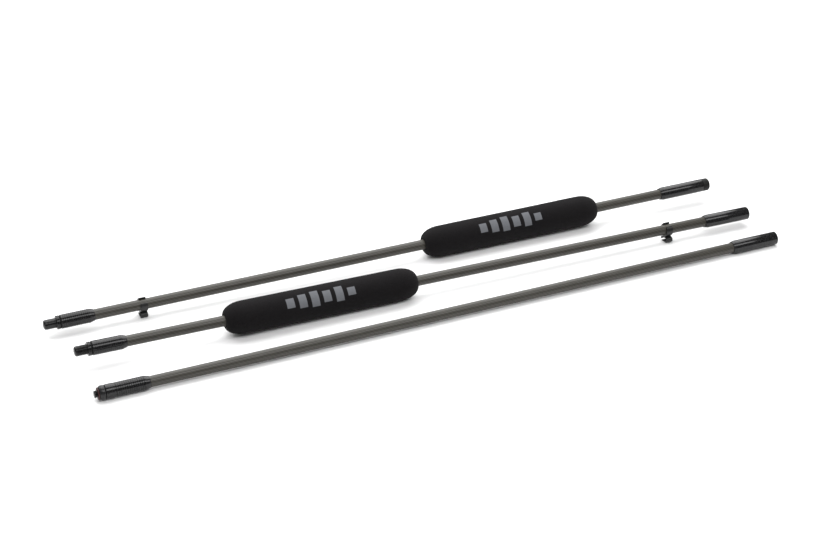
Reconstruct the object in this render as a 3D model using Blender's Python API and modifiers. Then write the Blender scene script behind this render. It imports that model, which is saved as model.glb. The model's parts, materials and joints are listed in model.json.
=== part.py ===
"""A boom pole that comes apart into three screwed sections, lying loose side by side.

Each section is a carbon-fibre tube with a turned fitting bonded on at both ends.
Stations are distances along a section from its threaded end, and +X runs from
that end to the other one.  The row's origin is on the floor, under the middle of
the whole object, and +Z is up.
"""

import math

import bpy
from mathutils import Matrix

MM = 0.001
GAP = 0.3 * MM
ROUND_STEPS = 24
FOAM_STEPS = 28

# Tubes, the same on all three sections.
SECTION_LENGTH = 1000 * MM
TUBE_RADIUS = 7.2 * MM
TUBE_BORE_RADIUS = 6.15 * MM
PLUG_RADIUS = TUBE_BORE_RADIUS - GAP
PLUG_END = 48 * MM

# Turned ferrule round the threaded end of a tube.
FERRULE_RADIUS = 9.45 * MM
FERRULE_START = 23.1 * MM
FERRULE_CONE_START = 61.5 * MM
FERRULE_CONE_LENGTH = 6.5 * MM
CONE_END_RADIUS = 7.8 * MM
SEAT_RADIUS = TUBE_RADIUS + GAP
SEAT_DEPTH = 3.2 * MM
RIB_DEPTH = 0.25 * MM
EDGE = 0.5 * MM

# Sleeve with a threaded socket round the other end of a tube.
SLEEVE_START = 927 * MM
SLEEVE_CONE_LENGTH = 5 * MM
SLEEVE_CONE_END_RADIUS = 8.2 * MM
SLEEVE_TUBE_STOP = 966 * MM
SOCKET_START = 972 * MM
SOCKET_CREST_RADIUS = 6.95 * MM
SOCKET_ROOT_RADIUS = 7.45 * MM
SOCKET_RELIEF_RADIUS = 6.15 * MM

# Screw joint between two sections.
SPIGOT_RADIUS = 6.75 * MM
SPIGOT_ROOT_RADIUS = 6.15 * MM
LOCK_RING_START = 17.2 * MM
LOCK_RING_LENGTH = 4.4 * MM
LOCK_RING_RADIUS = 9.2 * MM
WASHER_RADIUS = 8.6 * MM

# Microphone end of the tip section.
STUD_RADIUS = 4.7625 * MM
STUD_ROOT_RADIUS = 4.1 * MM
STUD_BORE_RADIUS = STUD_RADIUS + GAP
SEAL_START = 4.4 * MM
SEAL_LENGTH = 1.5 * MM
SEAL_RADIUS = 7.9 * MM
NUT_START = SEAL_START + SEAL_LENGTH + GAP
NUT_END = 13.4 * MM
NUT_RADIUS = 9.6 * MM
NUT_BEVEL = 3.0 * MM
COLLAR_START = 13.9 * MM
COLLAR_END = 25.4 * MM
COLLAR_RADIUS = 9.6 * MM
TIP_CONE_START = 64.8 * MM
TIP_TUBE_START = 27.5 * MM

# Butt end of the butt section.
BUTT_SLEEVE_START = 922.5 * MM
BUTT_SLEEVE_END = 994.6 * MM
CAP_LENGTH = 10.4 * MM
CAP_RADIUS = 9.15 * MM
CAP_STEM_RADIUS = 6.45 * MM
CAP_STEM_LENGTH = 16 * MM

# Foam grips.
FOAM_LENGTH = 272.5 * MM
FOAM_RADIUS = 22.1 * MM
FOAM_FACE_RADIUS = 8.6 * MM
FOAM_ROUNDING = 26 * MM
FOAM_DIMPLE = 1.5 * MM
MIDDLE_FOAM_START = 199.5 * MM
BUTT_FOAM_START = 541.5 * MM

# Cable clips: an open ring that snaps on the tube over an open loop for the cable.
CLIP_WIDTH = 10 * MM
CLIP_RING_RADIUS = 9.3 * MM
CLIP_LIP_RADIUS = 10.1 * MM
CLIP_MOUTH_DEG = (76, 138)
LOOP_CENTRE_DEPTH = 14.1 * MM
LOOP_OUTER_RADIUS = 3.7 * MM
LOOP_INNER_RADIUS = 2.5 * MM
LOOP_HALF_LENGTH = 4.5 * MM
LOOP_MOUTH_DEG = (-65, -20)
STEM_HALF_WIDTH = 2.2 * MM
MIDDLE_CLIP_STATION = 866 * MM
BUTT_CLIP_STATION = 134 * MM
MIDDLE_CLIP_SWIVEL_DEG = -6
BUTT_CLIP_SWIVEL_DEG = 9

# How the sections lie: the threaded end of each, and its turn about the vertical.
TIP_PLACE = (-492.59 * MM, -91.42 * MM)
MIDDLE_PLACE = (-493.13 * MM, -9.11 * MM)
MIDDLE_YAW_DEG = -0.604
BUTT_PLACE = (-507.32 * MM, 88.4 * MM)
BUTT_YAW_DEG = -0.957

# Name: (colour, roughness, metallic)
MATERIALS = {
    "carbon_fibre": ((0.050, 0.049, 0.045), 0.35, 0.0),
    "black_anodised": ((0.018, 0.018, 0.020), 0.28, 0.85),
    "black_thread": ((0.030, 0.030, 0.032), 0.40, 0.85),
    "black_rubber": ((0.012, 0.012, 0.012), 0.70, 0.0),
    "red_rubber": ((0.230, 0.012, 0.018), 0.50, 0.0),
    "black_foam": ((0.011, 0.011, 0.012), 0.95, 0.0),
    "black_plastic": ((0.016, 0.016, 0.017), 0.42, 0.0),
}


def clear_scene():
    """Remove whatever the open file holds."""
    for thing in list(bpy.data.objects):
        bpy.data.objects.remove(thing, do_unlink=True)


def make_collection(name):
    """A new collection in the scene."""
    collection = bpy.data.collections.new(name)
    bpy.context.scene.collection.children.link(collection)
    return collection


def make_material(name, colour, roughness, metallic):
    """A Principled material."""
    material = bpy.data.materials.new(name)
    material.use_nodes = True
    shader = material.node_tree.nodes["Principled BSDF"]
    shader.inputs["Base Color"].default_value = (*colour, 1.0)
    shader.inputs["Roughness"].default_value = roughness
    shader.inputs["Metallic"].default_value = metallic
    return material


def place_section(name, place, yaw, lift, tilt):
    """An empty on the axis at a section's threaded end; its +X runs along the tube."""
    frame = bpy.data.objects.new(name, None)
    frame.location = (place[0], place[1], lift)
    frame.rotation_euler = (0.0, -tilt, yaw)
    collection.objects.link(frame)
    return frame


def turned(name, profile, frame, material, steps=ROUND_STEPS):
    """A turned piece on a section's axis.

    profile holds (radius, station) points, down the outer side from the highest
    station to the lowest.  It starts and ends on the axis, or it goes back up the
    bore and closes on itself.
    """
    solid = profile[0][0] == 0.0
    count = len(profile)
    links = [(i, i + 1) for i in range(count - 1)]
    if not solid:
        links.append((count - 1, 0))
    mesh = bpy.data.meshes.new(name)
    mesh.from_pydata([(radius, 0.0, station) for radius, station in profile], links, [])
    mesh.materials.append(materials[material])
    piece = bpy.data.objects.new(name, mesh)
    piece.parent = frame
    piece.rotation_euler = (0.0, math.radians(90), 0.0)
    screw = piece.modifiers.new("turn", "SCREW")
    screw.steps = steps
    screw.render_steps = steps
    screw.use_merge_vertices = True
    screw.merge_threshold = 0.00001
    screw.use_smooth_shade = True
    collection.objects.link(piece)
    return piece


def ridges(high, low, count, crest, root):
    """Zigzag points from station high to low, with this many hollows between."""
    pitch = (high - low) / count
    points = []
    for i in range(count):
        points.append((crest, high - i * pitch))
        points.append((root, high - (i + 0.5) * pitch))
    points.append((crest, low))
    return points


def arc(centre, radius, start_deg, end_deg, count):
    """Points on an arc, end points included."""
    points = []
    for i in range(count + 1):
        angle = math.radians(start_deg + (end_deg - start_deg) * i / count)
        points.append((centre[0] + radius * math.cos(angle), centre[1] + radius * math.sin(angle)))
    return points


def clip_outline():
    """The clip seen along the tube: x is across the tube, y is up from its axis."""
    axis = (0.0, 0.0)
    far = (LOOP_HALF_LENGTH, -LOOP_CENTRE_DEPTH)
    near = (-LOOP_HALF_LENGTH, -LOOP_CENTRE_DEPTH)
    first, last = CLIP_MOUTH_DEG
    low, high = LOOP_MOUTH_DEG
    stem_deg = math.degrees(math.asin(STEM_HALF_WIDTH / CLIP_RING_RADIUS))
    lip = 4
    points = arc(axis, CLIP_LIP_RADIUS, first + lip, first - lip, 1)
    points += arc(axis, CLIP_RING_RADIUS, first - 2 * lip, -90 + stem_deg, 12)
    points += arc(far, LOOP_OUTER_RADIUS, 90, high, 6)
    points += arc(far, LOOP_INNER_RADIUS, high, 90, 5)
    points += arc(near, LOOP_INNER_RADIUS, 90, 270, 8)
    points += arc(far, LOOP_INNER_RADIUS, -90, low, 1)
    points += arc(far, LOOP_OUTER_RADIUS, low, -90, 1)
    points += arc(near, LOOP_OUTER_RADIUS, 270, 90, 10)
    points += arc(axis, CLIP_RING_RADIUS, 270 - stem_deg, last + 2 * lip, 9)
    points += arc(axis, CLIP_LIP_RADIUS, last + lip, last - lip, 1)
    points += arc(axis, SEAT_RADIUS, last, first + 360, 18)
    return points


def clip_depth(swivel_deg):
    """How far the swivelled clip reaches below the tube's axis."""
    turn = math.radians(swivel_deg)
    return max(-(y * math.cos(turn) + x * math.sin(turn)) for x, y in clip_outline())


def cable_clip(name, station, swivel_deg, frame):
    """The clip's outline, as thick as the clip is wide, across the tube."""
    curve = bpy.data.curves.new(name, "CURVE")
    curve.dimensions = "2D"
    curve.fill_mode = "BOTH"
    curve.extrude = CLIP_WIDTH / 2
    outline = clip_outline()
    spline = curve.splines.new("POLY")
    spline.points.add(len(outline) - 1)
    for point, (x, y) in zip(spline.points, outline):
        point.co = (x, y, 0.0, 1.0)
    spline.use_cyclic_u = True
    curve.materials.append(materials["black_plastic"])
    clip = bpy.data.objects.new(name, curve)
    clip.parent = frame
    clip.location = (station, 0.0, 0.0)
    across_tube = Matrix.Rotation(math.radians(90), 3, "Z") @ Matrix.Rotation(math.radians(90), 3, "X")
    swivel = Matrix.Rotation(math.radians(swivel_deg), 3, "X")
    clip.rotation_euler = (swivel @ across_tube).to_euler()
    collection.objects.link(clip)
    return clip


def tube(name, start, end, frame):
    """A carbon tube, open at both ends."""
    profile = [
        (TUBE_RADIUS, end),
        (TUBE_RADIUS, start),
        (TUBE_BORE_RADIUS, start),
        (TUBE_BORE_RADIUS, end),
    ]
    return turned(name, profile, frame, "carbon_fibre")


def joint_ferrule(name, frame, rib_count, rib_depth):
    """The ferrule behind a spigot, with ribs to grip it by."""
    cone_end = FERRULE_CONE_START + FERRULE_CONE_LENGTH
    seat = FERRULE_START + SEAT_DEPTH
    ribs_high = FERRULE_CONE_START - 3 * MM
    ribs_low = FERRULE_START + 2.5 * MM
    profile = [(CONE_END_RADIUS, cone_end), (FERRULE_RADIUS, FERRULE_CONE_START)]
    profile += ridges(ribs_high, ribs_low, rib_count, FERRULE_RADIUS, FERRULE_RADIUS - rib_depth)
    profile += [
        (FERRULE_RADIUS, FERRULE_START + EDGE),
        (FERRULE_RADIUS - EDGE, FERRULE_START),
        (SPIGOT_RADIUS + GAP, FERRULE_START),
        (SPIGOT_RADIUS + GAP, seat),
        (SEAT_RADIUS, seat),
        (SEAT_RADIUS, cone_end),
    ]
    return turned(name, profile, frame, "black_anodised")


def spigot(name, frame):
    """The threaded spigot of a joint, with the plug that is bonded into the tube."""
    shoulder = FERRULE_START + SEAT_DEPTH - GAP
    profile = [(0.0, PLUG_END), (PLUG_RADIUS, PLUG_END), (PLUG_RADIUS, shoulder), (SPIGOT_RADIUS, shoulder)]
    profile += ridges(LOCK_RING_START - 1 * MM, 2.2 * MM, 8, SPIGOT_RADIUS, SPIGOT_ROOT_RADIUS)
    profile += [(SPIGOT_ROOT_RADIUS - 1.1 * MM, 0.0), (0.0, 0.0)]
    return turned(name, profile, frame, "black_thread")


def flat_ring(name, start, length, outer, bore, edge, frame, material):
    """A ring with its outer edges chamfered."""
    end = start + length
    profile = [
        (outer - edge, end),
        (outer, end - edge),
        (outer, start + edge),
        (outer - edge, start),
        (bore, start),
        (bore, end),
    ]
    return turned(name, profile, frame, material)


def lock_ring(name, frame):
    """The ring that is spun back against the joint to lock it."""
    bore = SPIGOT_RADIUS + GAP
    return flat_ring(
        name, LOCK_RING_START, LOCK_RING_LENGTH, LOCK_RING_RADIUS, bore, EDGE, frame, "black_anodised"
    )


def joint_washer(name, frame):
    """The thin washer between the lock ring and the ferrule."""
    start = LOCK_RING_START + LOCK_RING_LENGTH + GAP
    length = FERRULE_START - GAP - start
    bore = SPIGOT_RADIUS + GAP
    return flat_ring(name, start, length, WASHER_RADIUS, bore, 0.2 * MM, frame, "black_rubber")


def sleeve(name, start, end, frame, threaded):
    """The sleeve on a tube's plain end: a threaded socket, or a smooth bore for a cap."""
    cone_end = start + SLEEVE_CONE_LENGTH
    profile = [
        (FERRULE_RADIUS - EDGE, end),
        (FERRULE_RADIUS, end - EDGE),
        (FERRULE_RADIUS, cone_end),
        (SLEEVE_CONE_END_RADIUS, start),
        (SEAT_RADIUS, start),
        (SEAT_RADIUS, SLEEVE_TUBE_STOP),
        (SOCKET_RELIEF_RADIUS, SLEEVE_TUBE_STOP),
        (SOCKET_RELIEF_RADIUS, SOCKET_START),
    ]
    if threaded:
        thread = ridges(end - 1.5 * MM, SOCKET_START + 0.5 * MM, 6, SOCKET_CREST_RADIUS, SOCKET_ROOT_RADIUS)
        profile += reversed(thread)
        profile.append((SOCKET_ROOT_RADIUS + EDGE, end))
    else:
        profile += [(SOCKET_CREST_RADIUS, SOCKET_START), (SOCKET_CREST_RADIUS, end)]
    return turned(name, profile, frame, "black_anodised")


def foam_grip(name, start, frame):
    """A soft grip with rounded ends and a slight dimple round the tube."""
    end = start + FOAM_LENGTH
    shoulder = FOAM_RADIUS - FOAM_FACE_RADIUS
    quarter = [math.radians(15 * i) for i in range(7)]
    bore = SEAT_RADIUS
    profile = [(bore, end - FOAM_DIMPLE)]
    for turn in quarter:
        radius = FOAM_FACE_RADIUS + shoulder * math.sin(turn)
        profile.append((radius, end - FOAM_ROUNDING * (1 - math.cos(turn))))
    for turn in reversed(quarter):
        radius = FOAM_FACE_RADIUS + shoulder * math.sin(turn)
        profile.append((radius, start + FOAM_ROUNDING * (1 - math.cos(turn))))
    profile.append((bore, start + FOAM_DIMPLE))
    return turned(name, profile, frame, "black_foam", steps=FOAM_STEPS)


def microphone_end(frame):
    """The stud that a shock mount screws on, its seal ring, lock nut and ferrule."""
    plug_start = TIP_TUBE_START - GAP
    profile = [(0.0, PLUG_END), (PLUG_RADIUS, PLUG_END), (PLUG_RADIUS, plug_start), (STUD_RADIUS, plug_start)]
    profile += ridges(5.2 * MM, 1.4 * MM, 2, STUD_RADIUS, STUD_ROOT_RADIUS)
    profile += [(STUD_ROOT_RADIUS - 0.3 * MM, 0.0), (0.0, 0.0)]
    turned("tip_stud", profile, frame, "black_thread")

    flat_ring(
        "tip_seal_ring", SEAL_START, SEAL_LENGTH, SEAL_RADIUS, STUD_BORE_RADIUS, 0.4 * MM, frame, "red_rubber"
    )

    profile = [
        (NUT_RADIUS - EDGE, NUT_END),
        (NUT_RADIUS, NUT_END - EDGE),
        (NUT_RADIUS, NUT_START + NUT_BEVEL),
        (SEAL_RADIUS + 0.2 * MM, NUT_START),
        (STUD_BORE_RADIUS, NUT_START),
        (STUD_BORE_RADIUS, NUT_END),
    ]
    turned("tip_lock_nut", profile, frame, "black_anodised")

    cone_end = TIP_CONE_START + FERRULE_CONE_LENGTH
    seat = TIP_TUBE_START - GAP
    profile = [(CONE_END_RADIUS, cone_end), (FERRULE_RADIUS, TIP_CONE_START)]
    profile += ridges(
        TIP_CONE_START - 0.8 * MM, COLLAR_END + 0.8 * MM, 12, FERRULE_RADIUS, FERRULE_RADIUS - RIB_DEPTH
    )
    profile += [
        (COLLAR_RADIUS, COLLAR_END),
        (COLLAR_RADIUS, COLLAR_START + EDGE),
        (COLLAR_RADIUS - EDGE, COLLAR_START),
        (STUD_BORE_RADIUS, COLLAR_START),
        (STUD_BORE_RADIUS, seat),
        (SEAT_RADIUS, seat),
        (SEAT_RADIUS, cone_end),
    ]
    turned("tip_ferrule", profile, frame, "black_anodised")


def end_cap(name, frame):
    """The cap that plugs the butt, with its stem in the sleeve's bore."""
    face = BUTT_SLEEVE_END + GAP
    end = face + CAP_LENGTH
    chamfer = 1.2 * MM
    profile = [
        (0.0, end),
        (CAP_RADIUS - chamfer, end),
        (CAP_RADIUS, end - chamfer),
        (CAP_RADIUS, face),
        (CAP_STEM_RADIUS, face),
        (CAP_STEM_RADIUS, face - CAP_STEM_LENGTH),
        (0.0, face - CAP_STEM_LENGTH),
    ]
    return turned(name, profile, frame, "black_rubber")


def tip_section():
    """The thin end: microphone stud in front, socket behind, lying on its fittings."""
    front = NUT_START + NUT_BEVEL
    rear = SECTION_LENGTH - EDGE
    tilt = math.atan((FERRULE_RADIUS - NUT_RADIUS) / (rear - front))
    lift = NUT_RADIUS * math.cos(tilt) - front * math.sin(tilt)
    frame = place_section("tip_section_axis", TIP_PLACE, 0.0, lift, tilt)
    tube("tip_tube", TIP_TUBE_START, SLEEVE_TUBE_STOP - GAP, frame)
    microphone_end(frame)
    sleeve("tip_socket_sleeve", SLEEVE_START, SECTION_LENGTH, frame, threaded=True)


def middle_section():
    """Spigot, grip, clip and socket, lying on the grip and the clip."""
    grip_foot = MIDDLE_FOAM_START + FOAM_LENGTH - FOAM_ROUNDING
    clip_foot = MIDDLE_CLIP_STATION + CLIP_WIDTH / 2
    depth = clip_depth(MIDDLE_CLIP_SWIVEL_DEG)
    tilt = math.atan((depth - FOAM_RADIUS) / (clip_foot - grip_foot))
    lift = FOAM_RADIUS * math.cos(tilt) - grip_foot * math.sin(tilt)
    frame = place_section("middle_section_axis", MIDDLE_PLACE, math.radians(MIDDLE_YAW_DEG), lift, tilt)
    tube("middle_tube", FERRULE_START + SEAT_DEPTH + GAP, SLEEVE_TUBE_STOP - GAP, frame)
    spigot("middle_spigot", frame)
    lock_ring("middle_lock_ring", frame)
    joint_washer("middle_joint_washer", frame)
    joint_ferrule("middle_ferrule", frame, 10, RIB_DEPTH * 0.6)
    foam_grip("middle_foam_grip", MIDDLE_FOAM_START, frame)
    cable_clip("middle_cable_clip", MIDDLE_CLIP_STATION, MIDDLE_CLIP_SWIVEL_DEG, frame)
    sleeve("middle_socket_sleeve", SLEEVE_START, SECTION_LENGTH, frame, threaded=True)


def butt_section():
    """Spigot, clip, grip and end cap, lying on the clip and the grip."""
    grip_foot = BUTT_FOAM_START + FOAM_ROUNDING
    clip_foot = BUTT_CLIP_STATION - CLIP_WIDTH / 2
    depth = clip_depth(BUTT_CLIP_SWIVEL_DEG)
    tilt = math.atan((FOAM_RADIUS - depth) / (grip_foot - clip_foot))
    lift = FOAM_RADIUS * math.cos(tilt) - grip_foot * math.sin(tilt)
    frame = place_section("butt_section_axis", BUTT_PLACE, math.radians(BUTT_YAW_DEG), lift, tilt)
    tube("butt_tube", FERRULE_START + SEAT_DEPTH + GAP, SLEEVE_TUBE_STOP - GAP, frame)
    spigot("butt_spigot", frame)
    lock_ring("butt_lock_ring", frame)
    joint_washer("butt_joint_washer", frame)
    joint_ferrule("butt_ferrule", frame, 10, RIB_DEPTH)
    cable_clip("butt_cable_clip", BUTT_CLIP_STATION, BUTT_CLIP_SWIVEL_DEG, frame)
    foam_grip("butt_foam_grip", BUTT_FOAM_START, frame)
    sleeve("butt_sleeve", BUTT_SLEEVE_START, BUTT_SLEEVE_END, frame, threaded=False)
    end_cap("butt_end_cap", frame)


clear_scene()
collection = make_collection("boom_pole")
materials = {name: make_material(name, *look) for name, look in MATERIALS.items()}
tip_section()
middle_section()
butt_section()
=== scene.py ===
"""Looks of the boom pole: its three sections as turned, woven, moulded and foam pieces.

Every piece is drawn in its section's own frame: x is the station along the section
from its threaded end, z is up, and y points away from the camera.  The section
frames come from the joints on their axes.  Each piece's start, end, bore and outer
radius are measured from the CAD node that it stands for.
"""

import json
import math

import bmesh
import bpy
import numpy as np
from mathutils import Matrix, Vector, noise


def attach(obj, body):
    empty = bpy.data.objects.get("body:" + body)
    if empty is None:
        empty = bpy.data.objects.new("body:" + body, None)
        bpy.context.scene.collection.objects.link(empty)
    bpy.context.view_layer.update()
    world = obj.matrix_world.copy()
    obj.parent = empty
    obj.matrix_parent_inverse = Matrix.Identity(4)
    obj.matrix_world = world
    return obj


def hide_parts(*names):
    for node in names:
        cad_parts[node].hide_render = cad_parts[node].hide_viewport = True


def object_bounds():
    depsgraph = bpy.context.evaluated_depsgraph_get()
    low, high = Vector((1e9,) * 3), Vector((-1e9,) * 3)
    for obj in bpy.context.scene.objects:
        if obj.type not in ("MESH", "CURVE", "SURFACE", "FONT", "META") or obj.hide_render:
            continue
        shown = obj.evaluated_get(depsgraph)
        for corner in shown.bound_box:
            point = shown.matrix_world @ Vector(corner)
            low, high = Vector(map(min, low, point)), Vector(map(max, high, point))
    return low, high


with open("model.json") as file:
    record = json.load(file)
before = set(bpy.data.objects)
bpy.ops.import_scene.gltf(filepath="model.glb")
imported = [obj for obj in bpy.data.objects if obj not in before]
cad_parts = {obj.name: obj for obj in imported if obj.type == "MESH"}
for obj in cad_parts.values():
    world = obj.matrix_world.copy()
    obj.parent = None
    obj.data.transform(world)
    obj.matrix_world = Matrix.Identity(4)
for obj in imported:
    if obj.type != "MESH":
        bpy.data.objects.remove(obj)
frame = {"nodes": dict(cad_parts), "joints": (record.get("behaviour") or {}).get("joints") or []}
cad_low, cad_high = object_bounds()

MM = 0.001
TURN = 2 * math.pi

# How finely round pieces are cut.
SEGMENTS = 96
FOAM_SEGMENTS = 144
CORNER_STEPS = 3
THREAD_STEPS = 12
SHARP_DEG = 38

# Where the joints that place the section frames sit along their sections.
LOCK_RING_STATION = 19.4 * MM
LOCK_NUT_STATION = 9.8 * MM

# Tubes, and the gaps round them.
WEAVE_TOWS_ROUND = 32
TUBE_WALL = 1.05 * MM
TUBE_CLEARANCE = 0.05 * MM
PLUG_CLEARANCE = 0.3 * MM

# Threads and grooves.
SPIGOT_PITCH = 1.25 * MM
STUD_PITCH = 1.5875 * MM
STUD_CREST_RADIUS = 4.7625 * MM
STUD_ROOT_RADIUS = 4.0 * MM
STUD_THREAD = (0.7 * MM, 12 * MM)
SPIGOT_THREAD_START = 3.6 * MM
SPIGOT_THREAD_GAP = 0.8 * MM
THREAD_WEAR = 0.4
GROOVE_PITCH = 2.75 * MM
GROOVE_WIDTH = 0.85 * MM

# Ferrules, sleeves, their sockets and the end cap.
CONE_LENGTH = 6.5 * MM
SLEEVE_CONE_LENGTH = 5.0 * MM
CONE_END_RADIUS = 7.8 * MM
SLEEVE_CONE_END_RADIUS = 8.2 * MM
COLLAR_LENGTH = 11.5 * MM
COLLAR_STEP = 0.2 * MM
COLLAR_CHAMFER = 0.6 * MM
COLLAR_GROOVE_DEPTH = 0.42 * MM
END_CHAMFER = 0.5 * MM
SOCKET_CREST_RADIUS = 6.95 * MM
SOCKET_ROOT_RADIUS = 7.45 * MM
SOCKET_RELIEF_RADIUS = 6.15 * MM
SOCKET_FLOOR_DEPTH = 6.3 * MM
CAP_STEM_RADIUS = 6.45 * MM
CAP_CHAMFER = 1.2 * MM
CAP_DISH_DEPTH = 0.5 * MM
NUT_BEVEL_LENGTH = 3.0 * MM

# How far the corners of turned pieces are rounded.
TUBE_ROUNDING = 0.15 * MM
FERRULE_ROUNDING = 0.18 * MM
RING_ROUNDING = 0.12 * MM
FITTING_ROUNDING = 0.25 * MM
CAP_ROUNDING = 0.2 * MM

# The rounded nose of a spigot.
NOSE_LENGTH = 2.8 * MM
NOSE_STEPS = 10
NECK_DEPTH = 0.45 * MM
CENTRE_HOLE_RADIUS = 1.3 * MM


def section_frame(joint_name, station):
    """The frame of a section, from a joint on its axis whose station is known."""
    joint = next(j for j in frame["joints"] if j["name"] == joint_name)
    along = Vector(joint["axis"]).normalized()
    start = Vector(joint["pos_m"]) - station * along
    side = Vector((0, 0, 1)).cross(along).normalized()
    up = along.cross(side)
    place = Matrix((along, side, up)).transposed().to_4x4()
    place.translation = start
    return place


SECTIONS = {
    "tip": section_frame("tip_lock_nut_turn", LOCK_NUT_STATION),
    "middle": section_frame("middle_lock_ring_turn", LOCK_RING_STATION),
    "butt": section_frame("butt_lock_ring_turn", LOCK_RING_STATION),
}


class Span:
    """A CAD node's start, end, length, bore and largest radius in its section's frame."""

    def __init__(self, node):
        into_section = SECTIONS[node.split("_")[0]].inverted()
        points = np.array([into_section @ v.co for v in frame["nodes"][node].data.vertices])
        stations, from_axis = points[:, 0], np.hypot(points[:, 1], points[:, 2])
        self.start, self.end = float(stations.min()), float(stations.max())
        self.bore, self.radius = float(from_axis.min()), float(from_axis.max())
        self.length = self.end - self.start


# ---------------------------------------------------------------- node helpers


def new_material(name):
    """A material with its node tree and Principled shader."""
    material = bpy.data.materials.new(name)
    material.use_nodes = True
    tree = material.node_tree
    return material, tree, tree.nodes["Principled BSDF"]


def plug(tree, socket, value):
    """Feed a socket from another socket, or set its value."""
    if isinstance(value, bpy.types.NodeSocket):
        tree.links.new(value, socket)
    else:
        socket.default_value = value


def calc(tree, operation, *values):
    """A math node's result."""
    made = tree.nodes.new("ShaderNodeMath")
    made.operation = operation
    for socket, value in zip(made.inputs, values):
        plug(tree, socket, value)
    return made.outputs[0]


def blend_value(tree, share, low, high):
    """low where share is 0, high where it is 1."""
    made = tree.nodes.new("ShaderNodeMapRange")
    plug(tree, made.inputs["Value"], share)
    plug(tree, made.inputs["To Min"], low)
    plug(tree, made.inputs["To Max"], high)
    return made.outputs["Result"]


def blend_colour(tree, share, low, high):
    """Colour low where share is 0, colour high where it is 1."""
    made = tree.nodes.new("ShaderNodeMix")
    made.data_type = "RGBA"
    plug(tree, made.inputs["Factor"], share)
    plug(tree, made.inputs["A"], (*low, 1.0) if isinstance(low, tuple) else low)
    plug(tree, made.inputs["B"], (*high, 1.0) if isinstance(high, tuple) else high)
    return made.outputs["Result"]


def scaled_colour(tree, colour, factor):
    """A colour made darker or paler by a factor."""
    made = tree.nodes.new("ShaderNodeVectorMath")
    made.operation = "SCALE"
    tree.links.new(colour, made.inputs[0])
    tree.links.new(factor, made.inputs["Scale"])
    return made.outputs[0]


def share_of_range(tree, value, low, high):
    """0 up to low, 1 from high on, and even between them."""
    made = tree.nodes.new("ShaderNodeMapRange")
    plug(tree, made.inputs["Value"], value)
    made.inputs["From Min"].default_value = low
    made.inputs["From Max"].default_value = high
    return made.outputs["Result"]


def between(tree, value, low, high, soft):
    """1 where value lies between low and high, with soft edges."""
    rise = share_of_range(tree, value, low - soft, low + soft)
    fall = share_of_range(tree, value, high - soft, high + soft)
    return calc(tree, "MULTIPLY", rise, calc(tree, "SUBTRACT", 1.0, fall))


def surface_place(tree):
    """(distance along the profile in metres, share of a turn) from the piece's UV map."""
    uv = tree.nodes.new("ShaderNodeUVMap")
    split = tree.nodes.new("ShaderNodeSeparateXYZ")
    tree.links.new(uv.outputs["UV"], split.inputs[0])
    return split.outputs["X"], split.outputs["Y"]


def stretched(tree, x, y, x_scale, y_scale):
    """A vector of two scaled values."""
    join = tree.nodes.new("ShaderNodeCombineXYZ")
    plug(tree, join.inputs["X"], calc(tree, "MULTIPLY", x, x_scale))
    plug(tree, join.inputs["Y"], calc(tree, "MULTIPLY", y, y_scale))
    return join.outputs[0]


def noise_value(tree, scale, detail=2.0, vector=None, roughness=0.5):
    """A noise texture's value, on object coordinates unless a vector is given."""
    made = tree.nodes.new("ShaderNodeTexNoise")
    made.inputs["Scale"].default_value = scale
    made.inputs["Detail"].default_value = detail
    made.inputs["Roughness"].default_value = roughness
    if vector is None:
        vector = tree.nodes.new("ShaderNodeTexCoord").outputs["Object"]
    tree.links.new(vector, made.inputs["Vector"])
    return made.outputs["Fac"]


def bump(tree, shader, height, distance, strength):
    """Relief on the surface."""
    made = tree.nodes.new("ShaderNodeBump")
    made.inputs["Distance"].default_value = distance
    made.inputs["Strength"].default_value = strength
    tree.links.new(height, made.inputs["Height"])
    tree.links.new(made.outputs["Normal"], shader.inputs["Normal"])


def worn_share(tree, scale, low, high):
    """Broken-up wear along the edges, from the mesh's worn attribute."""
    worn = tree.nodes.new("ShaderNodeAttribute")
    worn.attribute_name = "worn"
    patches = share_of_range(tree, noise_value(tree, scale, 3.0), low, high)
    return calc(tree, "MULTIPLY", worn.outputs["Fac"], patches)


def set_shader(shader, values):
    """Set the shader's own sockets to values that are the same all over a surface."""
    for socket, value in values.items():
        shader.inputs[socket].default_value = value


# ------------------------------------------------------------------- materials

# Pairs of colours are (dark, pale), and a noise blends them.
CARBON_WEFT = ((0.0200, 0.0183, 0.0134), (0.0330, 0.0300, 0.0228))
# The warp colour is paler than the weft. This is painted sheen for the light the fibres throw
# back along their run; the twill pattern itself is real.
CARBON_WARP_PAINTED_SHEEN = ((0.0300, 0.0273, 0.0207), (0.0500, 0.0453, 0.0352))
CARBON_SHADER = {
    "Specular IOR Level": 0.46,
    "Coat Weight": 0.12,
    "Coat Roughness": 0.22,
}
WEFT_ROUGHNESS = 0.42
WARP_ROUGHNESS = 0.37
SMEAR_ROUGHNESS = 0.08
# Colour factor at the edges of each tow: painted shade in the dips between tows.
TOW_EDGE_SHADE = 0.72
WEAVE_DEPTH = 0.04 * MM
WARP_FIBRE_SCALE = (350.0, 900.0)
WEFT_FIBRE_SCALE = (9000.0, 30.0)

ANODISED_BLACK = ((0.0025, 0.0025, 0.0026), (0.0045, 0.0045, 0.0046))
ANODISED_SATIN = ((0.004, 0.0042, 0.0045), (0.008, 0.0083, 0.0088))
ANODISED_THREAD = ((0.003, 0.003, 0.0031), (0.007, 0.007, 0.0071))
ANODISED_WORN = (0.03, 0.03, 0.031)
ANODISED_SPECULAR = 0.34
TURNING_LINE_SCALE = (2200.0, 2.0)
TURNING_LINE_DEPTH = 0.002 * MM

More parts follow.
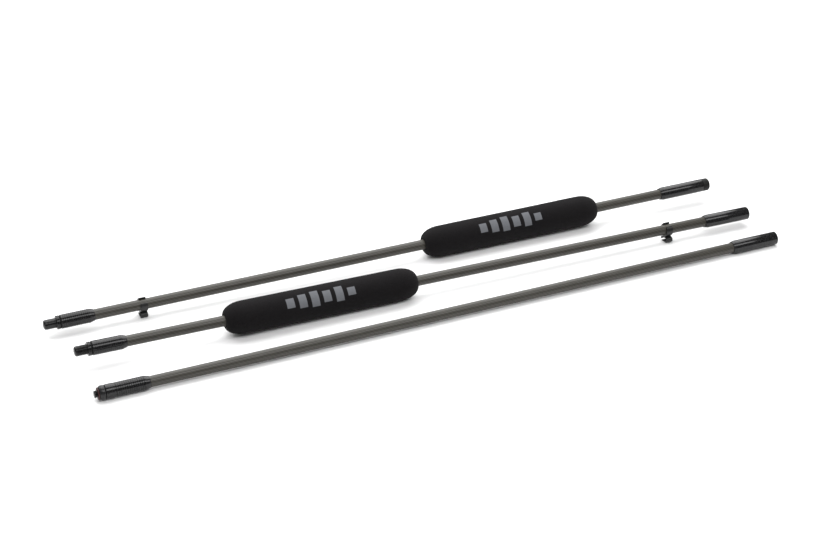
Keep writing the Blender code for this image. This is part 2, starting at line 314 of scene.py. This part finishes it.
RUBBER_BLACK = ((0.003, 0.003, 0.003), (0.007, 0.007, 0.007))
RUBBER_RED = ((0.019, 0.0019, 0.0017), (0.032, 0.0032, 0.003))
PLASTIC_BLACK = ((0.006, 0.006, 0.006), (0.011, 0.011, 0.011))
RUBBER_SPECULAR = 0.2
PLASTIC_SPECULAR = 0.38
MOULDED_GRAIN_DEPTH = 0.05 * MM

FOAM_GRAIN = ((0.0023, 0.0020, 0.0022), (0.0100, 0.0089, 0.0097))
FOAM_CELL_SCALE = 1100.0
FOAM_CELL_DEPTH = 0.35 * MM
FOAM_SHADER = {
    "Specular IOR Level": 0.12,
    "Sheen Weight": 0.02,
    "Sheen Roughness": 0.6,
}
INK = (0.135, 0.14, 0.152)

PAPER = ((0.79, 0.79, 0.79), (0.81, 0.81, 0.81))
PAPER_SHADER = {"Roughness": 0.9, "Specular IOR Level": 0.1}


def carbon_material():
    """Twill-woven carbon laminate under a satin clear coat, with painted sheen on the warp tows
    and painted shade along the tow edges.
    """
    material, tree, shader = new_material("carbon_twill")
    along, round_share = surface_place(tree)
    tow = TURN * Span("tip_tube").radius / WEAVE_TOWS_ROUND
    a = calc(tree, "DIVIDE", along, tow)
    b = calc(tree, "MULTIPLY", round_share, float(WEAVE_TOWS_ROUND))
    step = calc(tree, "ADD", calc(tree, "FLOOR", a), calc(tree, "FLOOR", b))
    warp = calc(tree, "LESS_THAN", calc(tree, "FLOORED_MODULO", step, 4.0), 1.5)
    a_arch = calc(tree, "SINE", calc(tree, "MULTIPLY", calc(tree, "FRACT", a), math.pi))
    b_arch = calc(tree, "SINE", calc(tree, "MULTIPLY", calc(tree, "FRACT", b), math.pi))
    arch = blend_value(tree, warp, a_arch, b_arch)
    warp_place = stretched(tree, along, round_share, *WARP_FIBRE_SCALE)
    weft_place = stretched(tree, along, round_share, *WEFT_FIBRE_SCALE)
    warp_fibre = noise_value(tree, 1.0, vector=warp_place)
    weft_fibre = noise_value(tree, 1.0, vector=weft_place)
    fibre = blend_value(tree, warp, weft_fibre, warp_fibre)
    weft_colour = blend_colour(tree, fibre, *CARBON_WEFT)
    # Warp tows take the paler colour, a painted sheen from the fibre direction.
    warp_painted_sheen_colour = blend_colour(tree, fibre, *CARBON_WARP_PAINTED_SHEEN)
    colour = blend_colour(tree, warp, weft_colour, warp_painted_sheen_colour)
    # Painted shade: the colour darkens towards the edges of each tow.
    shaded = scaled_colour(tree, colour, blend_value(tree, arch, TOW_EDGE_SHADE, 1.0))
    tree.links.new(shaded, shader.inputs["Base Color"])
    smears = calc(tree, "MULTIPLY", noise_value(tree, 60.0, 3.0), SMEAR_ROUGHNESS)
    rough = blend_value(tree, warp, WEFT_ROUGHNESS, WARP_ROUGHNESS)
    tree.links.new(calc(tree, "ADD", rough, smears), shader.inputs["Roughness"])
    set_shader(shader, CARBON_SHADER)
    height = calc(tree, "ADD", arch, calc(tree, "MULTIPLY", fibre, 0.35))
    bump(tree, shader, height, WEAVE_DEPTH, 0.4)
    return material


def anodised_material(name, dark, pale, roughness):
    """Black anodised aluminium: fine turning lines, patchy gloss, paler worn edges."""
    material, tree, shader = new_material(name)
    along, round_share = surface_place(tree)
    place = stretched(tree, along, round_share, *TURNING_LINE_SCALE)
    lines = noise_value(tree, 1.0, 3.0, vector=place)
    patches = noise_value(tree, 140.0, 3.0)
    wear = worn_share(tree, 900.0, 0.42, 0.72)
    base = blend_colour(tree, lines, dark, pale)
    worn = blend_colour(tree, wear, base, ANODISED_WORN)
    tree.links.new(worn, shader.inputs["Base Color"])
    gloss = blend_value(tree, patches, roughness - 0.03, roughness + 0.03)
    tree.links.new(gloss, shader.inputs["Roughness"])
    set_shader(shader, {"Specular IOR Level": ANODISED_SPECULAR})
    bump(tree, shader, lines, TURNING_LINE_DEPTH, 0.05)
    return material


def moulded_material(name, dark, pale, roughness, grain, specular):
    """Moulded plastic or rubber: a fine eroded grain with paler rubbed edges."""
    material, tree, shader = new_material(name)
    fine = noise_value(tree, grain, 3.0, roughness=0.6)
    cloud = noise_value(tree, 90.0)
    wear = worn_share(tree, 700.0, 0.45, 0.75)
    base = blend_colour(tree, cloud, dark, pale)
    rubbed = tuple(min(1.0, 2.2 * c + 0.01) for c in pale)
    worn = blend_colour(tree, calc(tree, "MULTIPLY", wear, 0.6), base, rubbed)
    tree.links.new(worn, shader.inputs["Base Color"])
    gloss = blend_value(tree, fine, roughness - 0.1, roughness + 0.12)
    tree.links.new(gloss, shader.inputs["Roughness"])
    set_shader(shader, {"Specular IOR Level": specular})
    bump(tree, shader, fine, MOULDED_GRAIN_DEPTH, 0.5)
    return material


# The print on a grip: plain bars of unequal height, a little off the grip's middle.
PRINT_BARS = (0.6, 0.85, 1.0, 0.72, 0.95, 0.5)
PRINT_BAR_WIDTH = 11 * MM
PRINT_BAR_PITCH = 17.2 * MM
PRINT_SHIFT = -7 * MM
PRINT_HEIGHT_TURN = 0.16
PRINT_CENTRE_TURN = 0.379
PRINT_SOFT = 0.25 * MM
PRINT_SOFT_TURN = 0.002


def print_mask(tree, along, round_share, centre):
    """1 on the printed bars of a grip, 0 elsewhere."""
    mask = 0.0
    half_width = PRINT_BAR_WIDTH / 2
    for i, share in enumerate(PRINT_BARS):
        middle = centre - PRINT_SHIFT + ((len(PRINT_BARS) - 1) / 2 - i) * PRINT_BAR_PITCH
        half_turn = share * PRINT_HEIGHT_TURN / 2
        left, right = middle - half_width, middle + half_width
        wide = between(tree, along, left, right, PRINT_SOFT)
        low, high = PRINT_CENTRE_TURN - half_turn, PRINT_CENTRE_TURN + half_turn
        tall = between(tree, round_share, low, high, PRINT_SOFT_TURN)
        mask = calc(tree, "ADD", mask, calc(tree, "MULTIPLY", wide, tall))
    return mask


def foam_material(centre):
    """Fine-celled foam with a printed graphic; centre is the grip's middle on its profile."""
    material, tree, shader = new_material("grip_foam")
    along, round_share = surface_place(tree)
    cells = tree.nodes.new("ShaderNodeTexVoronoi")
    cells.inputs["Scale"].default_value = FOAM_CELL_SCALE
    place = tree.nodes.new("ShaderNodeTexCoord").outputs["Object"]
    tree.links.new(place, cells.inputs["Vector"])
    fluff = noise_value(tree, 1500.0, 3.0, roughness=0.65)
    cloud = blend_value(tree, noise_value(tree, 22.0, 3.0), 0.82, 1.15)
    speckle = blend_value(tree, noise_value(tree, 620.0, roughness=0.7), 0.35, 1.65)
    grain = blend_colour(tree, fluff, *FOAM_GRAIN)
    clouded = scaled_colour(tree, grain, calc(tree, "MULTIPLY", cloud, speckle))
    ink_cover = blend_value(tree, fluff, 0.72, 1.0)
    ink = calc(tree, "MULTIPLY", print_mask(tree, along, round_share, centre), ink_cover)
    tree.links.new(blend_colour(tree, ink, clouded, INK), shader.inputs["Base Color"])
    tree.links.new(blend_value(tree, ink, 0.96, 0.7), shader.inputs["Roughness"])
    set_shader(shader, FOAM_SHADER)
    height = calc(tree, "ADD", cells.outputs["Distance"], calc(tree, "MULTIPLY", fluff, 0.7))
    bump(tree, shader, height, FOAM_CELL_DEPTH, 0.6)
    return material


def floor_material():
    """Matt white studio paper."""
    material, tree, shader = new_material("studio_paper")
    fibres = noise_value(tree, 300.0, 3.0)
    tree.links.new(blend_colour(tree, fibres, *PAPER), shader.inputs["Base Color"])
    set_shader(shader, PAPER_SHADER)
    return material


# --------------------------------------------------------------------- shapes


def rounded(points, size):
    """Round each corner of a closed (radius, station) outline that runs down its outer side.

    Gives (radius, station, worn), where worn is 1 on the corners that stand out.
    """
    outline = []
    count = len(points)
    for i in range(count):
        before, here, after = (Vector(points[(i + d) % count]) for d in (-1, 0, 1))
        back, ahead = before - here, after - here
        reach = min(size, 0.45 * back.length, 0.45 * ahead.length)
        turn = -back.cross(ahead) / max(back.length * ahead.length, 1e-12)
        if abs(turn) < 0.05:
            outline.append((here.x, here.y, 0.0))
            continue
        first = here + back.normalized() * reach
        last = here + ahead.normalized() * reach
        for k in range(CORNER_STEPS + 1):
            t = k / CORNER_STEPS
            spot = first * (1 - t) ** 2 + here * 2 * t * (1 - t) + last * t ** 2
            outline.append((spot.x, spot.y, 1.0 if turn < 0 else 0.0))
    return outline


def finish_mesh(name, shape, material, section, body, nodes):
    """Turn a bmesh in a section's frame into a piece that stands for CAD nodes."""
    mesh = bpy.data.meshes.new(name)
    bmesh.ops.recalc_face_normals(shape, faces=shape.faces)
    shape.transform(SECTIONS[section])
    shape.to_mesh(mesh)
    shape.free()
    mesh.materials.append(material)
    mesh.shade_smooth()
    mesh.set_sharp_from_angle(angle=math.radians(SHARP_DEG))
    piece = bpy.data.objects.new(name, mesh)
    bpy.context.scene.collection.objects.link(piece)
    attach(piece, body)
    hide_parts(*nodes)
    return piece


def turned(node, outline, material, body, segments=SEGMENTS, relief=None):
    """A turned piece from a closed outline of (radius, station, worn) points.

    relief(radius, station, angle) gives the radius where the piece isn't round.
    Points at radius 0 close the ends of a solid piece.
    """
    shape = bmesh.new()
    worn_layer = shape.verts.layers.float.new("worn")
    uv_layer = shape.loops.layers.uv.new("turned")
    rings = []
    for radius, station, worn in outline:
        ring = []
        for k in range(1 if radius == 0.0 else segments):
            angle = TURN * k / segments
            r = relief(radius, station, angle) if relief and radius else radius
            vert = shape.verts.new((station, r * math.cos(angle), r * math.sin(angle)))
            vert[worn_layer] = worn
            ring.append(vert)
        rings.append(ring)
    along = [0.0]
    looped = [*outline, outline[0]]
    for (r0, s0, _), (r1, s1, _) in zip(looped, looped[1:]):
        along.append(along[-1] + math.hypot(r1 - r0, s1 - s0))
    for i, ring in enumerate(rings):
        following = rings[(i + 1) % len(rings)]
        if len(ring) == 1 and len(following) == 1:
            continue
        for k in range(segments):
            corners = [(ring, k, along[i]), (following, k, along[i + 1])]
            corners += [(following, k + 1, along[i + 1]), (ring, k + 1, along[i])]
            used = []
            for loop_ring, index, distance in corners:
                vert = loop_ring[index % len(loop_ring)]
                if vert not in [v for v, _ in used]:
                    used.append((vert, (distance, index / segments)))
            face = shape.faces.new([v for v, _ in used])
            for loop, (_, uv) in zip(face.loops, used):
                loop[uv_layer].uv = uv
    section = node.split("_")[0]
    return finish_mesh(node + "_look", shape, material, section, body, [node])


def grooves(high, low, radius, depth):
    """Square-bottomed grooves at an even pitch between two stations."""
    count = max(1, round((high - low) / GROOVE_PITCH))
    pitch = (high - low) / count
    points = []
    for i in range(count):
        top = high - (i + 0.5) * pitch + GROOVE_WIDTH / 2
        points += [
            (radius, top),
            (radius - depth, top - 0.2 * GROOVE_WIDTH),
            (radius - depth, top - 0.8 * GROOVE_WIDTH),
            (radius, top - GROOVE_WIDTH),
        ]
    return points


def thread_line(high, low, radius, pitch):
    """Closely spaced points down a straight threaded side."""
    count = max(2, round((high - low) / pitch * THREAD_STEPS))
    return [(radius, high + (low - high) * i / count, THREAD_WEAR) for i in range(count + 1)]


def helix(high, low, crest, root, pitch):
    """A relief that cuts a right-hand thread between two stations and fades out at both."""
    fade = 0.8 * pitch

    def relief(radius, station, angle):
        if not low <= station <= high or abs(radius - crest) > 0.01 * MM:
            return radius
        phase = (station / pitch - angle / TURN) % 1.0
        cut = min(1.0, max(0.0, 1.45 * abs(2 * phase - 1) - 0.2))
        near_end = min((high - station) / fade, (station - low) / fade, 1.0)
        return crest + (root - crest) * cut * near_end

    return relief


# ------------------------------------------------------------ turned fittings


def seat_radius(section):
    """The bore of a piece that fits over a section's tube."""
    return Span(section + "_tube").radius + TUBE_CLEARANCE


def plug_radius(section):
    """The radius of a plug that fits inside a section's tube."""
    return Span(section + "_tube").radius - TUBE_WALL - PLUG_CLEARANCE


def tube(section, body, material):
    """A carbon tube, open at both ends."""
    node = section + "_tube"
    span = Span(node)
    bore = span.radius - TUBE_WALL
    points = [
        (span.radius, span.end),
        (span.radius, span.start),
        (bore, span.start),
        (bore, span.end),
    ]
    return turned(node, rounded(points, TUBE_ROUNDING), material, body)


def joint_ferrule(section, body, material, depth):
    """The ribbed ferrule behind a spigot."""
    node = section + "_ferrule"
    span = Span(node)
    seat = Span(section + "_tube").start
    tube_seat = seat_radius(section)
    cone = span.end - CONE_LENGTH
    points = [(CONE_END_RADIUS, span.end), (span.radius, cone)]
    points += grooves(cone - 1.5 * MM, span.start + 1.6 * MM, span.radius, depth)
    points += [
        (span.radius, span.start + END_CHAMFER),
        (span.radius - END_CHAMFER, span.start),
        (span.bore, span.start),
        (span.bore, seat),
        (tube_seat, seat),
        (tube_seat, span.end),
    ]
    outline = rounded(points, FERRULE_ROUNDING)
    return turned(node, outline, material, body)


def tip_ferrule(body, material):
    """The long ferrule behind the lock nut: a smooth collar, ribs and a cone."""
    span = Span("tip_ferrule")
    seat = Span("tip_tube").start
    tube_seat = seat_radius("tip")
    collar_end = span.start + COLLAR_LENGTH
    ribbed = span.radius - COLLAR_STEP
    cone = span.end - CONE_LENGTH
    points = [(CONE_END_RADIUS, span.end), (ribbed, cone)]
    points += grooves(cone - 0.3 * MM, collar_end + 0.4 * MM, ribbed, COLLAR_GROOVE_DEPTH)
    points += [
        (ribbed, collar_end),
        (span.radius, collar_end - COLLAR_STEP),
        (span.radius, span.start + COLLAR_CHAMFER),
        (span.radius - COLLAR_CHAMFER, span.start),
        (span.bore, span.start),
        (span.bore, seat),
        (tube_seat, seat),
        (tube_seat, span.end),
    ]
    outline = rounded(points, FERRULE_ROUNDING)
    return turned("tip_ferrule", outline, material, body)


def plug_end(span, radius, shoulder, outer):
    """The start of a spigot's or stud's outline: its plug in the tube, then its shoulder."""
    return [
        (0.0, span.end, 0.0),
        (radius, span.end, 0.0),
        (radius, shoulder, 0.0),
        (outer, shoulder, 0.0),
    ]


def spigot(section, body, material, depth):
    """The threaded spigot of a joint, with a chamfered lead-in and its plug inside the tube."""
    node = section + "_spigot"
    span = Span(node)
    shoulder = Span(section + "_tube").start - PLUG_CLEARANCE
    root = span.radius - depth
    high, low = shoulder - SPIGOT_THREAD_GAP, span.start + SPIGOT_THREAD_START
    outline = plug_end(span, plug_radius(section), shoulder, span.radius)
    outline += thread_line(high, low, span.radius, SPIGOT_PITCH)
    outline += nose(span.start, span.radius)
    relief = helix(high, low, span.radius, root, SPIGOT_PITCH)
    return turned(node, outline, material, body, relief=relief)


def nose(start, radius):
    """The rounded end of a spigot: a relief groove, a bullet nose and a small centre hole."""
    neck = radius - NECK_DEPTH
    hole = CENTRE_HOLE_RADIUS
    dome = radius - 0.15 * MM - hole
    points = [
        (radius, start + 3.5 * MM, 0.3),
        (neck, start + 3.3 * MM, 0.0),
        (neck, start + 2.9 * MM, 0.0),
    ]
    for i in range(NOSE_STEPS + 1):
        turn = math.radians(10 + 80 * i / NOSE_STEPS)
        station = start + NOSE_LENGTH * (1 - math.sin(turn))
        points.append((hole + dome * math.cos(turn), station, 0.3))
    points.append((0.0, start + 1.0 * MM, 0.0))
    return points


def tip_stud(body, material):
    """The 3/8 inch threaded stud for a microphone mount."""
    span = Span("tip_stud")
    crest, root = STUD_CREST_RADIUS, STUD_ROOT_RADIUS
    shoulder = Span("tip_tube").start - PLUG_CLEARANCE
    low, high = (span.start + reach for reach in STUD_THREAD)
    outline = plug_end(span, plug_radius("tip"), shoulder, crest)
    outline += thread_line(high, low, crest, STUD_PITCH)
    outline += [
        (root, span.start + 0.15 * MM, 1.0),
        (root - 0.3 * MM, span.start, 1.0),
        (0.0, span.start, 0.0),
    ]
    relief = helix(high, low, crest, root, STUD_PITCH)
    return turned("tip_stud", outline, material, body, relief=relief)


def ring(node, body, material, slot, chamfer, waist=0.0):
    """A plain ring, or one with a shallow waist round its middle."""
    span = Span(node)
    high, low = span.end - chamfer, span.start + chamfer
    points = [(span.radius - chamfer, span.end), (span.radius, high)]
    if waist:
        third = (span.length - 2 * chamfer) / 3
        points += [
            (span.radius, high - third),
            (span.radius - waist, high - 1.2 * third),
            (span.radius - waist, low + 1.2 * third),
            (span.radius, low + third),
        ]
    points += [
        (span.radius, low),
        (span.radius - chamfer, span.start),
        (span.bore, span.start),
        (span.bore, span.end),
    ]
    return turned(node, rounded(points, RING_ROUNDING), material, body)


def lock_ring(node, material):
    """A waisted lock ring, which is a body by itself."""
    return ring(node, node, material, "black_anodised", chamfer=END_CHAMFER, waist=0.3 * MM)


def lock_nut(body, material):
    """The lock nut, with its long bevel towards the microphone."""
    span = Span("tip_lock_nut")
    bevel_low = Span("tip_seal_ring").radius + 0.2 * MM
    points = [
        (span.radius - END_CHAMFER, span.end),
        (span.radius, span.end - END_CHAMFER),
        (span.radius, span.start + NUT_BEVEL_LENGTH),
        (bevel_low, span.start),
        (span.bore, span.start),
        (span.bore, span.end),
    ]
    outline = rounded(points, FITTING_ROUNDING)
    return turned("tip_lock_nut", outline, material, body)


def sleeve(node, body, material, threaded):
    """The sleeve on a section's plain end, with a threaded or a smooth socket."""
    span = Span(node)
    section = node.split("_")[0]
    tube_end = Span(section + "_tube").end
    tube_seat = seat_radius(section)
    seat_end = tube_end + 0.3 * MM
    cone = span.start + SLEEVE_CONE_LENGTH
    crest = SOCKET_CREST_RADIUS
    bottom = tube_end + SOCKET_FLOOR_DEPTH
    high, low = span.end - 0.9 * MM, bottom + 0.5 * MM
    outer = [
        (crest + 0.9 * MM, span.end),
        (span.radius - END_CHAMFER, span.end),
        (span.radius, span.end - END_CHAMFER),
        (span.radius, cone),
        (SLEEVE_CONE_END_RADIUS, span.start),
        (tube_seat, span.start),
        (tube_seat, seat_end),
        (SOCKET_RELIEF_RADIUS, seat_end),
        (SOCKET_RELIEF_RADIUS, bottom),
    ]
    outline = rounded(outer, FITTING_ROUNDING)
    if threaded:
        outline += reversed(thread_line(high, low, crest, SPIGOT_PITCH))
        cut = helix(high, low, crest, SOCKET_ROOT_RADIUS, SPIGOT_PITCH)
        return turned(node, outline, material, body, relief=cut)
    outline += [(crest, bottom, 0.0), (crest, high, 0.0)]
    return turned(node, outline, material, body)


def end_cap(body, material):
    """The moulded cap in the butt, with a shallow dish in its face."""
    span = Span("butt_end_cap")
    face = Span("butt_sleeve").end + 0.15 * MM
    dish = span.end - CAP_DISH_DEPTH
    points = [
        (0.35 * span.radius, dish),
        (0.5 * span.radius, span.end),
        (span.radius - CAP_CHAMFER, span.end),
        (span.radius, span.end - CAP_CHAMFER),
        (span.radius, face + 0.4 * MM),
        (span.radius - 0.4 * MM, face),
        (CAP_STEM_RADIUS, face),
        (CAP_STEM_RADIUS, span.start),
    ]
    outline = [(0.0, dish, 0.0), *rounded(points, CAP_ROUNDING), (0.0, span.start, 0.0)]
    return turned("butt_end_cap", outline, material, body)


# ------------------------------------------------------------ grips and clips

FOAM_FACE_RADIUS = 8.6 * MM
FOAM_ROUNDING = 26 * MM
FOAM_DIMPLE = 1.5 * MM
FOAM_FACE_STEPS = 5
FOAM_END_STEPS = 22
FOAM_SIDE_STEPS = 150
FOAM_LUMP_DEPTH = 0.22 * MM
FOAM_GRAIN_DEPTH = 0.12 * MM


def foam_grip(section, body):
    """A foam grip with soft rounded ends that pucker in round the tube."""
    node = section + "_foam_grip"
    span = Span(node)
    bore = seat_radius(section)
    shoulder = span.radius - FOAM_FACE_RADIUS

    def end_points(edge, inward):
        """From the bore out over a rounded end; inward is the way into the grip."""
        points = []
        for i in range(FOAM_FACE_STEPS):
            t = i / FOAM_FACE_STEPS
            dip = FOAM_DIMPLE * (1 - t) ** 2 * (1 + 0.4 * t)
            points.append((bore + (FOAM_FACE_RADIUS - bore) * t, edge + inward * dip, 0.0))
        for i in range(FOAM_END_STEPS + 1):
            turn = math.radians(90 * i / FOAM_END_STEPS)
            radius = FOAM_FACE_RADIUS + shoulder * math.sin(turn)
            drop = FOAM_ROUNDING * (1 - math.cos(turn))
            points.append((radius, edge + inward * drop, 0.0))
        return points

    high = end_points(span.end, -1)
    low = end_points(span.start, 1)
    side_high, side_low = high[-1][1], low[-1][1]
    side = [
        (span.radius, side_high + (side_low - side_high) * i / FOAM_SIDE_STEPS, 0.0)
        for i in range(1, FOAM_SIDE_STEPS)
    ]
    outline = high + side + list(reversed(low))

    def relief(radius, station, angle):
        """Slight lumps in the foam, always inwards."""
        if radius < FOAM_FACE_RADIUS:
            return radius
        place = Vector((station * 28, math.cos(angle) * 0.9, math.sin(angle) * 0.9))
        fine = Vector((station * 700, math.cos(angle) * 15, math.sin(angle) * 15))
        lumps = 0.5 + 0.5 * noise.noise(place)
        grain = 0.5 + 0.5 * noise.noise(fine)
        return radius - FOAM_LUMP_DEPTH * lumps - FOAM_GRAIN_DEPTH * grain

    distances = [math.hypot(b[0] - a[0], b[1] - a[1]) for a, b in zip(outline, outline[1:])]
    foam = foam_material(sum(distances) / 2)
    grip = turned(node, outline, foam, body, segments=FOAM_SEGMENTS, relief=relief)
    return grip


CLIP_MOUTH_DEG = (76, 138)
LOOP_MOUTH_DEG = (-65, -20)
CLIP_RING_RADIUS = 9.3 * MM
CLIP_LIP_RADIUS = 10.1 * MM
LOOP_CENTRE_DEPTH = 14.1 * MM
LOOP_OUTER_RADIUS = 3.64 * MM
LOOP_INNER_RADIUS = 2.5 * MM
LOOP_HALF_LENGTH = 4.5 * MM
STEM_HALF_WIDTH = 2.2 * MM
CLIP_WEAR = 0.6
CLIP_EDGE = 0.35 * MM
MIDDLE_CLIP_SWIVEL_DEG = -6
BUTT_CLIP_SWIVEL_DEG = 9


def arc(centre, radius, start_deg, end_deg, count):
    """Points on an arc, end points included."""
    angles = np.radians(np.linspace(start_deg, end_deg, count + 1))
    return [(centre[0] + radius * math.cos(t), centre[1] + radius * math.sin(t)) for t in angles]


def clip_outline(seat):
    """The clip seen along the tube: an open ring round the tube over an open cable loop."""
    axis = (0.0, 0.0)
    far = (LOOP_HALF_LENGTH, -LOOP_CENTRE_DEPTH)
    near = (-LOOP_HALF_LENGTH, -LOOP_CENTRE_DEPTH)
    first, last = CLIP_MOUTH_DEG
    low, high = LOOP_MOUTH_DEG
    stem_deg = math.degrees(math.asin(STEM_HALF_WIDTH / CLIP_RING_RADIUS))
    lip = 4
    points = arc(axis, CLIP_LIP_RADIUS, first + lip, first - lip, 3)
    points += arc(axis, CLIP_RING_RADIUS, first - 2 * lip, -90 + stem_deg, 30)
    points += arc(far, LOOP_OUTER_RADIUS, 90, high, 14)
    points += arc(far, LOOP_INNER_RADIUS, high, 90, 12)
    points += arc(near, LOOP_INNER_RADIUS, 90, 270, 20)
    points += arc(far, LOOP_INNER_RADIUS, -90, low, 3)
    points += arc(far, LOOP_OUTER_RADIUS, low, -90, 3)
    points += arc(near, LOOP_OUTER_RADIUS, 270, 90, 24)
    points += arc(axis, CLIP_RING_RADIUS, 270 - stem_deg, last + 2 * lip, 24)
    points += arc(axis, CLIP_LIP_RADIUS, last + lip, last - lip, 3)
    points += arc(axis, seat, last, first + 360, 48)
    return points


def cable_clip(section, body, swivel_deg, material):
    """A moulded cable clip with rounded edges."""
    node = section + "_cable_clip"
    span = Span(node)
    shape = bmesh.new()
    worn_layer = shape.verts.layers.float.new("worn")
    swivel = Matrix.Rotation(math.radians(swivel_deg), 3, "X")
    outline = clip_outline(seat_radius(section))
    verts = [shape.verts.new(swivel @ Vector((span.start, y, z))) for y, z in outline]
    face = shape.faces.new(verts)
    made = bmesh.ops.extrude_face_region(shape, geom=[face])
    moved = [v for v in made["geom"] if isinstance(v, bmesh.types.BMVert)]
    bmesh.ops.translate(shape, verts=moved, vec=(span.length, 0, 0))
    for vert in shape.verts:
        vert[worn_layer] = CLIP_WEAR
    clip = finish_mesh(node + "_look", shape, material, section, body, [node])
    edges = clip.modifiers.new("rounded_edges", "BEVEL")
    edges.width = CLIP_EDGE
    edges.segments = 3
    edges.limit_method = "ANGLE"
    edges.angle_limit = math.radians(50)
    return clip


# ------------------------------------------------------------------- the stage


CAMERA_AZIMUTH_DEG = -24.917
CAMERA_ELEVATION_DEG = 28.305
CAMERA_AIM = (-0.01614, 0.0070, 0.02)
CAMERA_DISTANCE = 2.5176
CAMERA_LENS = 80.727
FLOOR_HALF_SIZE = 30.0
WORLD_STRENGTH = 0.1


def camera():
    """The photograph's view: from in front and above, over towards the threaded ends."""
    azimuth, elevation = math.radians(CAMERA_AZIMUTH_DEG), math.radians(CAMERA_ELEVATION_DEG)
    back = Vector(
        (
            math.sin(azimuth) * math.cos(elevation),
            -math.cos(azimuth) * math.cos(elevation),
            math.sin(elevation),
        )
    )
    data = bpy.data.cameras.new("camera")
    data.lens = CAMERA_LENS
    data.sensor_width = 36.0
    made = bpy.data.objects.new("camera", data)
    made.location = Vector(CAMERA_AIM) + back * CAMERA_DISTANCE
    made.rotation_mode = "QUATERNION"
    made.rotation_quaternion = (-back).to_track_quat("-Z", "Y")
    bpy.context.scene.collection.objects.link(made)
    bpy.context.scene.camera = made


def floor():
    """A wide sheet of white paper under the object."""
    mesh = bpy.data.meshes.new("floor")
    shape = bmesh.new()
    bmesh.ops.create_grid(shape, x_segments=1, y_segments=1, size=FLOOR_HALF_SIZE)
    shape.to_mesh(mesh)
    shape.free()
    mesh.materials.append(floor_material())
    sheet = bpy.data.objects.new("floor", mesh)
    sheet.location = (0, 0, cad_low.z)
    bpy.context.scene.collection.objects.link(sheet)


def panel(name, low_deg, high_deg, distance, left, right, radiance, mirrored=True):
    """A long light over the object, between two heights seen from it.

    Heights are degrees round from the horizon in front, over the top, to the back.
    A light that isn't mirrored only fills the shadows.
    """
    middle = math.radians((low_deg + high_deg) / 2)
    width = 2 * distance * math.tan(math.radians((high_deg - low_deg) / 2))
    along = Vector((1, 0, 0))
    towards = Vector((0, -math.cos(middle), math.sin(middle)))
    length = right - left
    data = bpy.data.lights.new(name, "AREA")
    data.shape = "RECTANGLE"
    data.size = length
    data.size_y = width
    data.energy = radiance * math.pi * length * width
    light = bpy.data.objects.new(name, data)
    light.visible_glossy = mirrored
    data.use_shadow = mirrored
    light.location = towards * distance + along * ((left + right) / 2)
    light.rotation_mode = "QUATERNION"
    turn = Matrix((along, towards.cross(along), towards)).transposed()
    light.rotation_quaternion = turn.to_quaternion()
    bpy.context.scene.collection.objects.link(light)


def studio():
    """A dim white room with a broad light behind and over the object, a narrow one in
    front of it and a faint one above that only fills the shadows.
    """
    world = bpy.data.worlds.new("studio")
    bpy.context.scene.world = world
    world.use_nodes = True
    background = world.node_tree.nodes["Background"]
    background.inputs["Color"].default_value = (1.0, 1.0, 1.0, 1.0)
    background.inputs["Strength"].default_value = WORLD_STRENGTH
    panel("back_panel", 90, 155, distance=1.8, left=-1.5, right=1.75, radiance=3.5)
    panel("front_panel", 42, 63, distance=1.9, left=-1.5, right=1.7, radiance=4.5)
    panel("top_fill", 60, 120, distance=2.2, left=-2.2, right=2.2, radiance=0.8, mirrored=False)
    bpy.context.scene.view_settings.view_transform = "Standard"
    bpy.context.scene.view_settings.look = "None"


def build():
    """Every piece, section by section."""
    carbon = carbon_material()
    anodised = anodised_material("anodised_black", *ANODISED_BLACK, roughness=0.08)
    satin = anodised_material("anodised_satin", *ANODISED_SATIN, roughness=0.3)
    thread = anodised_material("anodised_thread", *ANODISED_THREAD, roughness=0.16)
    rubber = moulded_material("rubber_black", *RUBBER_BLACK, 0.5, 2600.0, RUBBER_SPECULAR)
    red = moulded_material("rubber_red", *RUBBER_RED, 0.5, 2200.0, PLASTIC_SPECULAR)
    plastic = moulded_material("moulded_black", *PLASTIC_BLACK, 0.32, 1800.0, PLASTIC_SPECULAR)

    tube("tip", "tip_section", carbon)
    tip_ferrule("tip_section", anodised)
    tip_stud("tip_section", thread)
    ring("tip_seal_ring", "tip_lock_nut", red, "red_rubber", chamfer=0.4 * MM)
    lock_nut("tip_lock_nut", satin)
    sleeve("tip_socket_sleeve", "tip_section", anodised, threaded=True)

    tube("middle", "middle_section", carbon)
    spigot("middle", "middle_section", thread, depth=0.55 * MM)
    lock_ring("middle_lock_ring", anodised)
    ring("middle_joint_washer", "middle_section", rubber, "black_rubber", chamfer=0.2 * MM)
    joint_ferrule("middle", "middle_section", anodised, depth=0.08 * MM)
    foam_grip("middle", "middle_foam_grip")
    cable_clip("middle", "middle_cable_clip", MIDDLE_CLIP_SWIVEL_DEG, plastic)
    sleeve("middle_socket_sleeve", "middle_section", anodised, threaded=True)

    tube("butt", "butt_section", carbon)
    spigot("butt", "butt_section", thread, depth=0.2 * MM)
    lock_ring("butt_lock_ring", anodised)
    ring("butt_joint_washer", "butt_section", rubber, "black_rubber", chamfer=0.2 * MM)
    joint_ferrule("butt", "butt_section", anodised, depth=0.32 * MM)
    cable_clip("butt", "butt_cable_clip", BUTT_CLIP_SWIVEL_DEG, plastic)
    foam_grip("butt", "butt_foam_grip")
    sleeve("butt_sleeve", "butt_section", anodised, threaded=False)
    end_cap("butt_section", rubber)


camera()
floor()
studio()
build()
